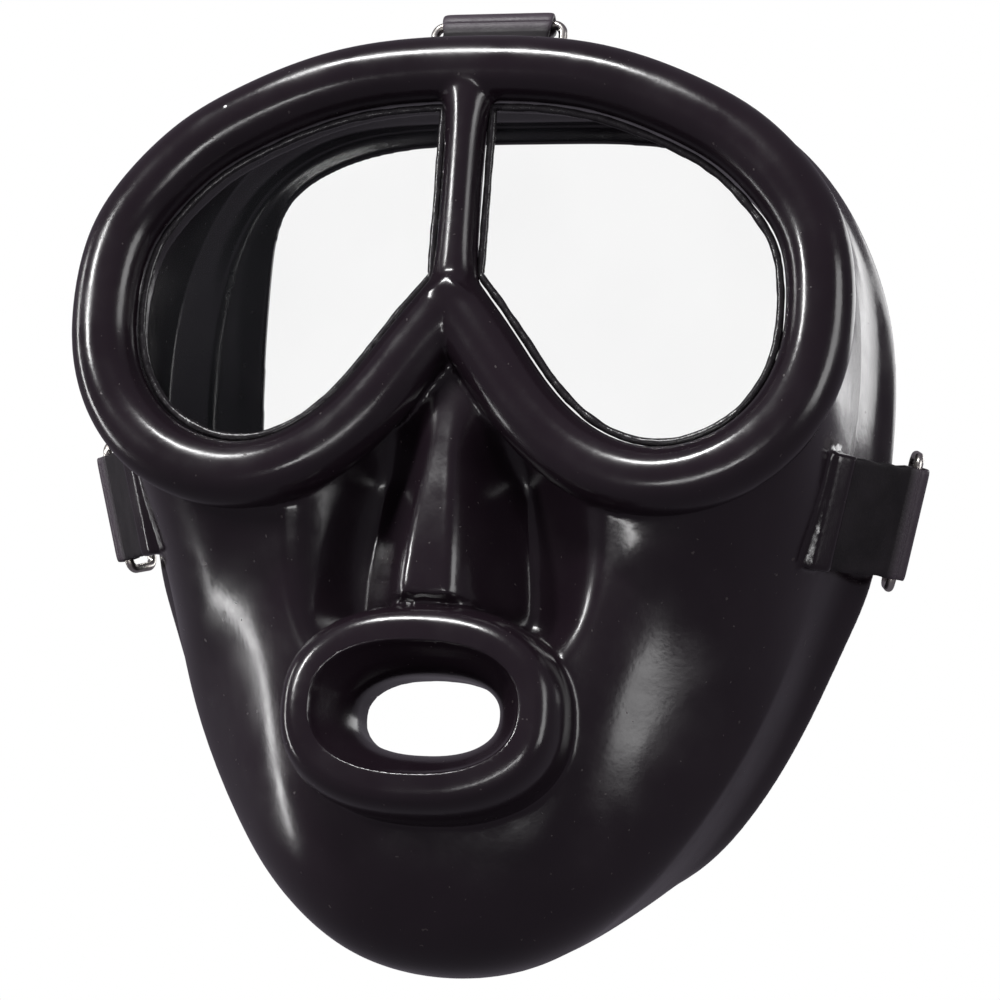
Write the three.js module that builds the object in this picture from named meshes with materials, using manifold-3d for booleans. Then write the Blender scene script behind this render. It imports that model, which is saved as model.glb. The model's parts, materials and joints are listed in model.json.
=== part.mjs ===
import * as THREE from 'three';
import { mergeVertices } from 'three/addons/utils/BufferGeometryUtils.js';
import Module from 'manifold-3d';

// Full face respirator: a moulded rubber facepiece with two flat windows, a nose pocket, an oval
// mouth port and a rear face seal, and three folded strap loops that each carry a wire ring.
// Millimetres. +Z up as worn, +X towards the wearer's left, the face looks towards -Y, and the
// origin is the middle of the plane the seal's rear edge lies in.

const GAP = 0.3;                    // left between neighbouring pieces
const WALL = 2.9;                   // moulded wall of the facepiece

// Goggle rim: the centre line of the round bead that runs round both windows
const RIM_HALF_WIDTH = 75.5;
const RIM_TOP = 84;
const RIM_BOTTOM = -3.5;
const RIM_PEAK = 33;                // where the two legs over the nose would meet
const RIM_FORWARD = 63;
const BEAD_RADIUS = 7;
const BAR_HALF_WIDTH = 4.2;
const BAR_HALF_DEPTH = 5.2;

// Windows
const GLASS_THICKNESS = 4;
const GLASS_FORWARD = 61.6;         // front face of the glass
const GLASS_COVER = 2.4;            // edge of the glass hidden in the rim
const LEDGE_DEPTH = 3.8;            // rubber ledge behind the glass
const LEDGE_REACH = 6.5;            // how far the ledge stands in from the bead's centre line
const LEDGE_ROOT = 2.2;             // where it starts, in from the same line
const GASKET_WIDTH = 1.6;
const GASKET_HEIGHT = 1.2;

// Corner line, where the cheeks turn into the rear skirt
const CORNER_HALF_WIDTH = 79;
const CORNER_TOP = 93;
const CORNER_CHIN = -101.5;
const CORNER_FORWARD = 20;
const CHIN_FORWARD = 27;            // of the same line under the chin
const CROWN_SQUARENESS = 1.3;       // how far the wall bulges on its way there: 1 is straight
const CHEEK_SQUARENESS = 1.2;
const CHIN_SQUARENESS = 3;

// Rear edge of the skirt and the hole inside the seal lip
const REAR_HALF_WIDTH = 85;
const REAR_TOP = 99;
const REAR_CHIN = -89;
const LIP_HALF_WIDTH = 60;
const LIP_TOP = 88.5;
const LIP_CHIN = -77;
const LIP_THICKNESS = 1.8;
const LIP_SET_IN = 3;               // the lip's edge is this far ahead of the rear plane
const FOLD_FORWARD = 6.5;           // where the inner wall turns into the lip
const WAIST_FORWARD = 10;           // where the skirt starts to flare

// Nose pocket
const NOSE_HALF_WIDTH = 6.5;
const NOSE_FOOT = 19;
const NOSE_TOP = 22;
const NOSE_BOTTOM = -29;
const NOSE_RISE = 8;                // at the bottom of the ridge
const HOLLOW_OUTER = 33;
const HOLLOW_DEPTH = 11;

// Mouth port
const PORT_HEIGHT = -51.3;
const PORT_FORWARD = 71.5;
const PORT_REAR = 50;
const PORT_OUTER = [29, 21.5];      // half width and half height of the collar
const PORT_MOUTH = [20, 12.2];      // of the flared front opening
const PORT_BORE = [15, 8.2];        // of the straight passage

// Strap loops and their rings
const STRAP_WIDTH = 23.7;
const STRAP_HALF_THICKNESS = 1.9;
const KNUCKLE_RADIUS = 2.3;
const SIDE_LENGTH = 24.8;
const TOP_LENGTH = 15;
// Ends of each side hinge: the flow line, and how far it is ahead of the rear plane
const SIDE_ROOT_UPPER = [7.28, 33.6];
const SIDE_ROOT_LOWER = [8.48, 28.4];
const TOP_ROOT_FORWARD = 48;
const SIDE_STAND_OFF = 9.554;       // degrees between the strap and the skirt's flare beside it
const TOP_SWEEP = 30;               // degrees back from straight up
const LUG_LENGTH = 5;
const LUG_HEIGHT = 0.6;             // above the hinge
const WIRE_RADIUS = 1;
const RING_DEPTH = 9.5;
const RING_OVERHANG = 2.4;          // wire centre beyond each edge of the strap
const RING_CORNER = 2;
const SIDE_RING_TURN = 45;          // degrees from the strap's own direction
const TOP_RING_TURN = 150;

// Facets
const STATIONS = 14;
const ROWS = 13;
const BEAD_FACETS = 12;
const PORT_FACETS = 40;
const WIRE_FACETS = 8;

const { Vector2, Vector3, Matrix4 } = THREE;
const { degToRad, lerp, radToDeg, smoothstep } = THREE.MathUtils;
const wasm = await Module();
wasm.setup();

// ---------------------------------------------------------------- solids

/** A closed solid for joining and cutting, turned right side out. */
function solid(geometry) {
  const bare = new THREE.BufferGeometry();
  bare.setAttribute('position', geometry.getAttribute('position'));
  bare.setIndex(geometry.getIndex());
  const welded = mergeVertices(bare, 1e-4);
  const at = welded.getAttribute('position').array;
  const triangles = Uint32Array.from(welded.getIndex().array);
  const corner = (i) => new Vector3().fromArray(at, 3 * triangles[i]);
  let volume = 0;
  for (let i = 0; i < triangles.length; i += 3) {
    volume += corner(i).dot(corner(i + 1).cross(corner(i + 2)));
  }
  if (volume < 0) triangles.reverse();
  return new wasm.Manifold(
    new wasm.Mesh({ numProp: 3, vertProperties: Float32Array.from(at), triVerts: triangles }));
}

/** Skin over rings of points. An open run is capped at both ends. */
function loft(rings, closed) {
  const count = rings[0].length;
  const last = rings.length - 1;
  const index = [];
  for (let j = 0; j < (closed ? rings.length : last); j += 1) {
    const next = (j + 1) % rings.length;
    for (let i = 0; i < count; i += 1) {
      const k = (i + 1) % count;
      const quad = [j * count + i, j * count + k, next * count + k, next * count + i];
      const corners = [rings[j][i], rings[j][k], rings[next][k], rings[next][i]];
      const turned = corners[1].distanceTo(corners[3]) < corners[0].distanceTo(corners[2]);
      const [a, b, c, d] = turned ? [...quad.slice(1), quad[0]] : quad;
      index.push(a, b, c, a, c, d);
    }
  }
  for (let i = 1; !closed && i < count - 1; i += 1) {
    index.push(0, i + 1, i, last * count, last * count + i, last * count + i + 1);
  }
  const geometry = new THREE.BufferGeometry().setFromPoints(rings.flat());
  geometry.setIndex(index);
  return solid(geometry);
}

/** Round bar along a flat run of points: `sides` are its normals in that plane. */
function roundBar(points, sides, across, radius, facets, closed) {
  return loft(points.map((point, i) => Array.from({ length: facets }, (_, k) => {
    const angle = 2 * Math.PI * k / facets;
    return point.clone().addScaledVector(sides[i], radius * Math.cos(angle))
      .addScaledVector(across, radius * Math.sin(angle));
  })), closed);
}

/** Plate cut to an outline in X and Z, between two distances ahead of the rear plane. */
function plate(outline, front, back, holes = []) {
  const clockwise = THREE.ShapeUtils.isClockWise(outline);
  const shape = new THREE.Shape(clockwise ? [...outline].reverse() : outline);
  shape.holes = holes.map((hole) => new THREE.Path(hole));
  const geometry = new THREE.ExtrudeGeometry(shape, { depth: front - back, bevelEnabled: false });
  geometry.rotateX(Math.PI / 2).translate(0, -back, 0);
  return solid(geometry);
}

const mirrored = (body) => body.mirror([1, 0, 0]);
const mirrorPoints = (points) => points.map((p) => new Vector2(-p.x, p.y)).reverse();

// ---------------------------------------------------------------- face lines

// Each line is given for the +X half from the top centre to the bottom centre, as shares of its
// half width and of its height above or below the origin. The same station on every line lies
// on the same flow line of the moulding.
const cornerShares = [[0, 1], [0.38, 0.995], [0.63, 0.95], [0.81, 0.84], [0.925, 0.68],
  [0.985, 0.495], [1, 0.3], [0.985, 0.11], [0.95, -0.06], [0.885, -0.227], [0.772, -0.473],
  [0.6, -0.715], [0.44, -0.862], [0.243, -0.964], [0, -1]];
const rearShares = [[0, 1], [0.365, 0.995], [0.61, 0.95], [0.78, 0.83], [0.895, 0.677],
  [0.97, 0.505], [1, 0.323], [0.994, 0.12], [0.96, -0.112], [0.894, -0.292], [0.776, -0.55],
  [0.612, -0.787], [0.435, -0.905], [0.224, -0.978], [0, -1]];
const lipShares = [[0, 1], [0.4, 0.994], [0.7, 0.955], [0.9, 0.88], [0.983, 0.78],
  [1, 0.62], [0.992, 0.395], [0.967, 0.17], [0.925, -0.078], [0.867, -0.312], [0.75, -0.545],
  [0.6, -0.753], [0.433, -0.89], [0.233, -0.974], [0, -1]];
// The rim's heights are shares of its own rise from the lowest point to the top.
const rimShares = [[0, 1], [0.344, 0.975], [0.622, 0.886], [0.795, 0.789], [0.927, 0.657],
  [0.987, 0.531], [1, 0.394], [0.98, 0.269], [0.914, 0.149], [0.781, 0.046], [0.583, 0],
  [0.384, 0.046], [0.225, 0.16], [0.106, 0.297]];

function faceLine(shares, halfWidth, top, chin) {
  const half = shares.map(([x, z]) => new Vector3(x * halfWidth, 0, z > 0 ? z * top : -z * chin));
  const other = half.slice(1, -1).reverse().map((p) => new Vector3(-p.x, 0, p.z));
  const curve = new THREE.CatmullRomCurve3([...half, ...other], true, 'centripetal');
  return (station) => curve.getPoint(station / (2 * STATIONS));
}

/** Stations counted from the top centre, the same on both sides. */
const halfStation = (station) => Math.min(station, 2 * STATIONS - station);
const cornerForward = (station) =>
  lerp(CORNER_FORWARD, CHIN_FORWARD, smoothstep(halfStation(station), 8.5, 11.5));
const cornerLine = faceLine(cornerShares, CORNER_HALF_WIDTH, CORNER_TOP, CORNER_CHIN);
const rearLine = faceLine(rearShares, REAR_HALF_WIDTH, REAR_TOP, REAR_CHIN);
const lipLine = faceLine(lipShares, LIP_HALF_WIDTH, LIP_TOP, LIP_CHIN);

const rimPoints = rimShares.map(([x, z]) =>
  new Vector3(x * RIM_HALF_WIDTH, 0, lerp(RIM_BOTTOM, RIM_TOP, z)));
const legEnd = rimPoints[STATIONS - 1];
const rimCurve = new THREE.CatmullRomCurve3([
  new Vector3(-rimPoints[1].x, 0, rimPoints[1].z), ...rimPoints, new Vector3(0, 0, RIM_PEAK),
  new Vector3(-legEnd.x, 0, 2 * RIM_PEAK - legEnd.z)], false, 'centripetal');
const rimShare = (station) => (station + 1) / (STATIONS + 2);

/** A point of the rim's +X half, moved out from the window by `out`. */
function rimAt(station, out = 0) {
  const tangent = rimCurve.getTangent(rimShare(station));
  return rimCurve.getPoint(rimShare(station)).add(
    new Vector3(-tangent.z, 0, tangent.x).multiplyScalar(out));
}

/** The rim's +X half moved out by `out` and cut off at x = `inner`, as a flat outline. */
function rimOutline(out, inner) {
  const line = [];
  for (let k = 0; k <= 5 * (STATIONS + 1); k += 1) line.push(rimAt(k / 5, out));
  const outline = [];
  line.forEach((point, k) => {
    const before = line[Math.max(k - 1, 0)];
    if (k > 0 && (before.x - inner) * (point.x - inner) < 0) {
      const share = (inner - before.x) / (point.x - before.x);
      outline.push(new Vector2(inner, lerp(before.z, point.z, share)));
    }
    if (point.x > inner) outline.push(new Vector2(point.x, point.z));
  });
  if (outline[0].x > inner) outline.unshift(new Vector2(inner, outline[0].y));
  return outline;
}

// ---------------------------------------------------------------- goggle rim and windows

function rimBead(radius) {
  const stations = [];
  for (let k = 0; k <= 3 * STATIONS; k += 1) stations.push(k / 3);
  const points = stations.map((s) => rimAt(s));
  const sides = stations.map((s) => rimAt(s, 1).sub(rimAt(s)));
  points[0].x = -1;
  points.push(points.at(-1).clone().addScaledVector(
    rimCurve.getTangent(rimShare(STATIONS)), 0.5 * radius));
  sides.push(sides.at(-1).clone());
  points.forEach((p) => { p.y = -RIM_FORWARD; });
  const half = roundBar(points, sides, new Vector3(0, 1, 0), radius, BEAD_FACETS, false);
  return half.add(mirrored(half));
}

function centreBar(grow) {
  const length = RIM_TOP - RIM_PEAK;
  const bar = new THREE.CylinderGeometry(1, 1, length, BEAD_FACETS);
  bar.scale(BAR_HALF_WIDTH + grow, 1, BAR_HALF_DEPTH + grow).rotateX(Math.PI / 2);
  bar.translate(0, -RIM_FORWARD, RIM_PEAK + length / 2);
  return solid(bar);
}

const ledgeFront = RIM_FORWARD - 2;
const ledgeBack = GLASS_FORWARD - GLASS_THICKNESS - GAP - LEDGE_DEPTH;

function ledge(grow, windows) {
  const right = rimOutline(grow - LEDGE_ROOT, 0);
  const whole = [...right, ...mirrorPoints(right).slice(1, -1)];
  return plate(whole, ledgeFront + grow, ledgeBack - grow, windows);
}

const pane = (reach, inner, front, back) => plate(rimOutline(-reach, inner), front, back);
const glassReach = BEAD_RADIUS - GLASS_COVER;
const glassInner = BAR_HALF_WIDTH - GLASS_COVER + 0.4;
const window = rimOutline(-LEDGE_REACH, BAR_HALF_WIDTH);

const glass = pane(glassReach, glassInner, GLASS_FORWARD, GLASS_FORWARD - GLASS_THICKNESS);
const groove = pane(glassReach - GAP, glassInner - GAP,
  GLASS_FORWARD + GAP, GLASS_FORWARD - GLASS_THICKNESS - GAP);
const frame = rimBead(BEAD_RADIUS).add(centreBar(0))
  .add(ledge(0, [window, mirrorPoints(window)]))
  .subtract(groove).subtract(mirrored(groove));

const gasketBack = GLASS_FORWARD + GAP;
const gasketReach = BEAD_RADIUS + 1.5 * GAP;
const gasketInner = BAR_HALF_WIDTH + 1.5 * GAP;
const gasket = plate(rimOutline(-gasketReach, gasketInner), gasketBack + GASKET_HEIGHT, gasketBack,
  [rimOutline(-gasketReach - GASKET_WIDTH, gasketInner + GASKET_WIDTH)]);

// ---------------------------------------------------------------- front shell

// Columns of the shell, in stations round the whole face: closer together by the nose and mouth
const halfColumns = [];
for (let station = 0; station < STATIONS; station += 1) {
  const steps = station < 9 ? 2 : 5;
  for (let k = 0; k < steps; k += 1) halfColumns.push(station + k / steps);
}
const columns = [...halfColumns, STATIONS,
  ...halfColumns.slice(1).reverse().map((station) => 2 * STATIONS - station)];

const rimLine = (station) => {
  const point = rimAt(halfStation(station));
  if (station > STATIONS) point.x = -point.x;
  return point;
};

/** How square the run from rim to corner line is: 1 is straight, and more bulges further. */
function squareness(station) {
  const half = halfStation(station);
  return lerp(lerp(CROWN_SQUARENESS, CHEEK_SQUARENESS, smoothstep(half, 5, 9)),
    CHIN_SQUARENESS, smoothstep(half, 10, 13.5));
}

/** How far the nose ridge stands out of the face, less the hollow on each side of it. */
function noseRise(x, z) {
  const beside = Math.abs(x);
  const along = smoothstep(-z, -NOSE_TOP, -NOSE_BOTTOM);
  const above = 1 - smoothstep(-z, -NOSE_BOTTOM, 4 - NOSE_BOTTOM);
  const ridge = lerp(1, NOSE_RISE, along) * (1 - smoothstep(beside, NOSE_HALF_WIDTH, NOSE_FOOT));
  const hollow = HOLLOW_DEPTH * smoothstep(beside, NOSE_HALF_WIDTH, NOSE_FOOT)
    * (1 - smoothstep(beside, NOSE_FOOT, HOLLOW_OUTER));
  const deep = smoothstep(-z, 4 - NOSE_TOP, 22 - NOSE_TOP)
    * (1 - smoothstep(-z, -NOSE_BOTTOM, 14 - NOSE_BOTTOM));
  return ridge * above - hollow * deep;
}

/**
 * One column of the wall, evenly spaced from inside the bead to the corner line: `skin` is the
 * outer skin, `plain` the same point without the nose.
 */
function shellColumn(station) {
  const start = rimLine(station);
  const end = cornerLine(station);
  const square = squareness(station);
  const plain = [];
  const skin = [];
  for (let k = 0; k <= 240; k += 1) {
    const angle = 0.5 * Math.PI * k / 240;
    const point = start.clone().lerp(end, Math.sin(angle) ** (2 / square));
    point.y = -lerp(cornerForward(station), RIM_FORWARD - 3, Math.cos(angle) ** (2 / square));
    plain.push(point);
    skin.push(point.clone().setY(point.y - noseRise(point.x, point.z)));
  }
  const travelled = [0];
  plain.slice(1).forEach((point, k) => travelled.push(travelled[k] + point.distanceTo(plain[k])));
  return Array.from({ length: ROWS + 1 }, (_, row) => {
    const target = travelled.at(-1) * row / ROWS;
    const k = Math.max(1, travelled.findIndex((length) => length >= target - 1e-9));
    const share = (target - travelled[k - 1]) / (travelled[k] - travelled[k - 1]);
    return {
      plain: plain[k - 1].clone().lerp(plain[k], share),
      skin: skin[k - 1].clone().lerp(skin[k], share),
    };
  });
}

/** The flat normal of a face line, pointing out of the face. */
function lineNormal(line, station) {
  const along = line(station + 0.05).sub(line(station - 0.05)).normalize();
  return new Vector3(-along.z, 0, along.x);
}

function shellSkins() {
  const grid = columns.map(shellColumn);
  const normal = (which, i, row) => {
    const next = grid[(i + 1) % grid.length][row][which];
    const down = grid[i][row + 1][which].clone().sub(grid[i][Math.max(row - 1, 0)][which]);
    return next.clone().sub(grid.at(i - 1)[row][which]).cross(down).normalize();
  };
  const outer = [];
  const inner = [];
  for (let row = 0; row <= ROWS; row += 1) {
    outer.push(grid.map((column) => column[row].skin));
    inner.push(grid.map((column, i) => {
      const { skin } = column[row];
      if (row === ROWS) {
        return skin.clone().addScaledVector(lineNormal(cornerLine, columns[i]), -WALL);
      }
      // Steep nose walls are measured square to the plain face, so the inner skin can't fold.
      const plain = normal('plain', i, row);
      const slope = Math.max(plain.dot(normal('skin', i, row)), 0.5);
      return skin.clone().addScaledVector(plain, -WALL / slope);
    }));
  }
  return [...outer, ...inner.reverse()];
}

/** An oval in the port's plane, squarer than an ellipse. */
function portOval([halfWidth, halfHeight], forward) {
  return Array.from({ length: PORT_FACETS }, (_, k) => {
    const angle = 2 * Math.PI * k / PORT_FACETS;
    const ease = (value) => Math.sign(value) * Math.abs(value) ** 0.86;
    return new Vector3(halfWidth * ease(Math.cos(angle)), -forward,
      PORT_HEIGHT + halfHeight * ease(Math.sin(angle)));
  });
}

const between = (a, b, share) => a.map((value, i) => lerp(value, b[i], share));
const collar = loft([
  portOval(PORT_OUTER, PORT_REAR),
  portOval(PORT_OUTER, PORT_FORWARD - 7),
  portOval(between(PORT_OUTER, PORT_MOUTH, 0.15), PORT_FORWARD - 3),
  portOval(between(PORT_OUTER, PORT_MOUTH, 0.45), PORT_FORWARD),
  portOval(between(PORT_OUTER, PORT_MOUTH, 0.75), PORT_FORWARD),
  portOval(PORT_MOUTH, PORT_FORWARD - 2),
  portOval(between(PORT_MOUTH, PORT_BORE, 0.6), PORT_FORWARD - 6.5),
  portOval(PORT_BORE, PORT_FORWARD - 12),
  portOval(PORT_BORE, PORT_REAR),
], true);
const portPlug = loft([portOval(PORT_BORE, PORT_FORWARD), portOval(PORT_BORE, PORT_REAR - 8)], false);

// ---------------------------------------------------------------- strap loops

/** Where one flow line of the wall passes a given distance ahead of the rear plane. */
function wallPoint(station, forward) {
  const column = shellColumn(station);
  const row = column.findIndex(({ skin }) => -skin.y <= forward);
  const [before, after] = [column[row - 1].skin, column[row].skin];
  return before.clone().lerp(after, (forward + before.y) / (before.y - after.y));
}

/** Hinge frame: x runs along the strap at rest, y in towards the wall, z along the hinge. */
function hingeFrame(upper, lower, sweep) {
  const hinge = upper.clone().sub(lower).normalize();
  const inward = hinge.clone().cross(new Vector3(0, 1, 0)).normalize();
  const back = inward.clone().cross(hinge);
  const frame = new Matrix4().makeBasis(back, inward, hinge);
  frame.setPosition(upper.clone().add(lower).multiplyScalar(0.5)
    .addScaledVector(inward, -KNUCKLE_RADIUS - GAP));
  return frame.multiply(new Matrix4().makeRotationZ(degToRad(sweep - 90)));
}

/** Degrees that the skirt leans out on its way back from the corner line to its rear edge. */
function skirtFlare(station) {
  const spread = rearLine(station).distanceTo(cornerLine(station));
  return radToDeg(Math.atan2(spread, cornerForward(station)));
}

const sideSweep = 90 - SIDE_STAND_OFF
  - skirtFlare((SIDE_ROOT_UPPER[0] + SIDE_ROOT_LOWER[0]) / 2);
const sideFrame = hingeFrame(
  wallPoint(...SIDE_ROOT_UPPER), wallPoint(...SIDE_ROOT_LOWER), sideSweep);
const crown = wallPoint(0, TOP_ROOT_FORWARD);
const topFrame = hingeFrame(crown.clone().setX(-1), crown.clone().setX(1), TOP_SWEEP);

function extruded(shape, width, frame) {
  const settings = { depth: width, bevelEnabled: false, curveSegments: 8 };
  const geometry = new THREE.ExtrudeGeometry(shape, settings);
  return solid(geometry.translate(0, 0, -width / 2).applyMatrix4(frame));
}

const eyeAt = (length) => length - KNUCKLE_RADIUS;

function strapLoop(length, frame) {
  const quarter = Math.PI / 2;
  const band = new THREE.Shape();
  band.absarc(0, 0, KNUCKLE_RADIUS, quarter, 3 * quarter, false);
  band.lineTo(KNUCKLE_RADIUS, -STRAP_HALF_THICKNESS);
  band.lineTo(eyeAt(length) - KNUCKLE_RADIUS, -STRAP_HALF_THICKNESS);
  band.absarc(eyeAt(length), 0, KNUCKLE_RADIUS, -quarter, quarter, false);
  band.lineTo(eyeAt(length) - KNUCKLE_RADIUS, STRAP_HALF_THICKNESS);
  band.lineTo(KNUCKLE_RADIUS, STRAP_HALF_THICKNESS);
  const fold = new THREE.Path();
  const eye = WIRE_RADIUS + GAP;
  fold.moveTo(KNUCKLE_RADIUS + 2, GAP);
  fold.lineTo(KNUCKLE_RADIUS + 2, -GAP);
  fold.lineTo(eyeAt(length) - eye, -GAP);
  fold.absarc(eyeAt(length), 0, eye, 1.1 * Math.PI, 2.9 * Math.PI, false);
  fold.lineTo(eyeAt(length) - eye, GAP);
  band.holes.push(fold);
  return extruded(band, STRAP_WIDTH, frame);
}

/** The moulded lug on the wall that the strap grows out of. */
function strapLug(sweep, frame) {
  const level = frame.clone().multiply(new Matrix4().makeRotationZ(degToRad(90 - sweep)));
  const reach = KNUCKLE_RADIUS + GAP;
  const outline = new THREE.Shape([[-LUG_LENGTH, -reach - 1.4], [0.6, -reach - 1.4], [0.6, -0.4],
    [0, LUG_HEIGHT], [-2.2, LUG_HEIGHT], [-LUG_LENGTH, -reach + 0.6]]
    .map(([along, out]) => new Vector2(along, -out)));
  return extruded(outline, STRAP_WIDTH, level);
}

/** Room for the root of a strap. */
function strapSeat(frame) {
  const reach = KNUCKLE_RADIUS + GAP;
  const seat = new THREE.CylinderGeometry(reach, reach, STRAP_WIDTH + 2, 32);
  return solid(seat.rotateX(Math.PI / 2).applyMatrix4(frame));
}

function wireRing(length, turn, frame) {
  const halfHeight = STRAP_WIDTH / 2 + RING_OVERHANG;
  const local = frame.clone().multiply(new Matrix4().makeTranslation(eyeAt(length), 0, 0))
    .multiply(new Matrix4().makeRotationZ(degToRad(turn)));
  const points = [];
  const sides = [];
  [[RING_DEPTH, 1], [0, 1], [0, -1], [RING_DEPTH, -1]].forEach(([x, z], corner) => {
    for (let k = 0; k <= 4; k += 1) {
      const angle = 0.5 * Math.PI * (corner + k / 4);
      const side = new Vector3(Math.cos(angle), 0, Math.sin(angle));
      const middle = new Vector3(x === 0 ? RING_CORNER : x - RING_CORNER, 0,
        z * (halfHeight - RING_CORNER));
      points.push(middle.addScaledVector(side, RING_CORNER));
      sides.push(side);
    }
  });
  const facing = new Vector3(0, 1, 0);
  const ring = roundBar(points, sides, facing, WIRE_RADIUS, WIRE_FACETS, true);
  return ring.transform(local.elements);
}

const sideStrap = strapLoop(SIDE_LENGTH, sideFrame);
const topStrap = strapLoop(TOP_LENGTH, topFrame);
const sideLug = strapLug(sideSweep, sideFrame);
const topLug = strapLug(TOP_SWEEP, topFrame);
const sideSeat = strapSeat(sideFrame);
const sideRing = wireRing(SIDE_LENGTH, SIDE_RING_TURN, sideFrame);
const topRing = wireRing(TOP_LENGTH, TOP_RING_TURN, topFrame);

const rimRoom = rimBead(BEAD_RADIUS + GAP).add(ledge(GAP)).add(centreBar(GAP));
const shell = loft(shellSkins(), true).subtract(portPlug).add(collar)
  .add(sideLug).add(mirrored(sideLug)).add(topLug)
  .subtract(sideSeat).subtract(mirrored(sideSeat)).subtract(strapSeat(topFrame))
  .subtract(rimRoom);

// ---------------------------------------------------------------- seal skirt

const loop = (line, forward) => columns.map((station) => line(station).setY(-forward));
const frontLoop = (line) => columns.map((station) =>
  line(station).setY(GAP - cornerForward(station)));
const blend = (a, b, share) => (station) => a(station).lerp(b(station), share);
const cornerInner = (station) =>
  cornerLine(station).addScaledVector(lineNormal(cornerLine, station), -WALL);
const skirt = loft([
  frontLoop(cornerLine),
  loop(blend(cornerLine, rearLine, 0.3), WAIST_FORWARD),
  loop(blend(cornerLine, rearLine, 0.85), 4.5),
  loop(rearLine, 1.6),
  loop(blend(rearLine, lipLine, 0.06), 0),
  loop(blend(rearLine, lipLine, 0.5), 0),
  loop(lipLine, LIP_SET_IN),
  loop(lipLine, LIP_SET_IN + LIP_THICKNESS),
  loop(blend(lipLine, rearLine, 0.4), FOLD_FORWARD),
  loop(blend(cornerInner, lipLine, 0.2), WAIST_FORWARD + 3),
  frontLoop(cornerInner),
], true);

// ---------------------------------------------------------------- materials and output

const rubber = { color: 0x1d191e, roughness: 0.22, metalness: 0 };
const looks = {
  rim: rubber,
  shell: rubber,
  skirt: { color: 0x1f1b1f, roughness: 0.34, metalness: 0 },
  glass: { color: 0xe6eeee, roughness: 0.04, metalness: 0, transparent: true, opacity: 0.3 },
  sealant: { color: 0x141214, roughness: 0.3, metalness: 0 },
  strap: { color: 0x131013, roughness: 0.7, metalness: 0 },
  wire: { color: 0xa9a8a6, roughness: 0.25, metalness: 1 },
};

const facepiece = new THREE.Group();
facepiece.name = 'full_face_respirator';

function place(name, body, look) {
  const { vertProperties, triVerts } = body.getMesh();
  const geometry = new THREE.BufferGeometry();
  geometry.setAttribute('position', new THREE.BufferAttribute(vertProperties.slice(), 3));
  geometry.setIndex(Array.from(triVerts));
  geometry.computeVertexNormals();
  const mesh = new THREE.Mesh(geometry, new THREE.MeshStandardMaterial(looks[look]));
  mesh.name = name;
  facepiece.add(mesh);
}

place('front_shell', shell, 'shell');
place('seal_skirt', skirt, 'skirt');
place('window_frame', frame, 'rim');
place('window_left', glass, 'glass');
place('window_right', mirrored(glass), 'glass');
place('window_gasket_left', gasket, 'sealant');
place('window_gasket_right', mirrored(gasket), 'sealant');
place('strap_loop_left', sideStrap, 'strap');
place('strap_loop_right', mirrored(sideStrap), 'strap');
place('strap_loop_top', topStrap, 'strap');
place('wire_ring_left', sideRing, 'wire');
place('wire_ring_right', mirrored(sideRing), 'wire');
place('wire_ring_top', topRing, 'wire');

export default facepiece;
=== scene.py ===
import json
import math

import bmesh
import bpy
import numpy as np
from mathutils import Matrix, Vector


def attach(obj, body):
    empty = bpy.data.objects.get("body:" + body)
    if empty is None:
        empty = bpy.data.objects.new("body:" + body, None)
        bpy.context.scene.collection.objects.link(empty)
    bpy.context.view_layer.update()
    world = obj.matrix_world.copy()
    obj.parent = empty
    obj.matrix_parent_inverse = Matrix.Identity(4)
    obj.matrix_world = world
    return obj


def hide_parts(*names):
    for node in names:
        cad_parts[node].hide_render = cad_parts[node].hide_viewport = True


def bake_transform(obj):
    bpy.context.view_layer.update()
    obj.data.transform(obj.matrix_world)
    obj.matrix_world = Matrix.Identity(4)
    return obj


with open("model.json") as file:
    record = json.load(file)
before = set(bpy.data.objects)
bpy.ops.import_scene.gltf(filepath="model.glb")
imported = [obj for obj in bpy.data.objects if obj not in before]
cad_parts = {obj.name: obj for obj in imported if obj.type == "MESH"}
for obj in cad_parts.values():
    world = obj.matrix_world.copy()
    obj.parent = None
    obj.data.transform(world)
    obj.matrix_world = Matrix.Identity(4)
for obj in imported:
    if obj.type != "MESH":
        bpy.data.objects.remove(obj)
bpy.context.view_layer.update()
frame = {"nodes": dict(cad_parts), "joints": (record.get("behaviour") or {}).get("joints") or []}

mm = 0.001   # every size below is in millimetres, and becomes metres as its mesh is made
print("frame loaded")


# shapes worked out on numbers

def smooth(value, low, high):
    share = np.clip((value - low) / (high - low), 0, 1)
    return share * share * (3 - 2 * share)


def mix(a, b, share):
    return a + (b - a) * share


def splineSlopes(points, closed):
    # slopes of the smooth curve that passes through evenly numbered points
    count = len(points)
    system = np.zeros((count, count))
    right = np.zeros_like(points)
    for i in range(count):
        if closed or 0 < i < count - 1:
            system[i, i] = 4
            system[i, (i - 1) % count] += 1
            system[i, (i + 1) % count] += 1
            right[i] = 3 * (points[(i + 1) % count] - points[(i - 1) % count])
        else:
            inner = 1 if i == 0 else count - 2
            system[i, i] = 2
            system[i, inner] = 1
            right[i] = 3 * (points[inner] - points[i]) * (1 if i == 0 else -1)
    return np.linalg.solve(system, right)


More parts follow.
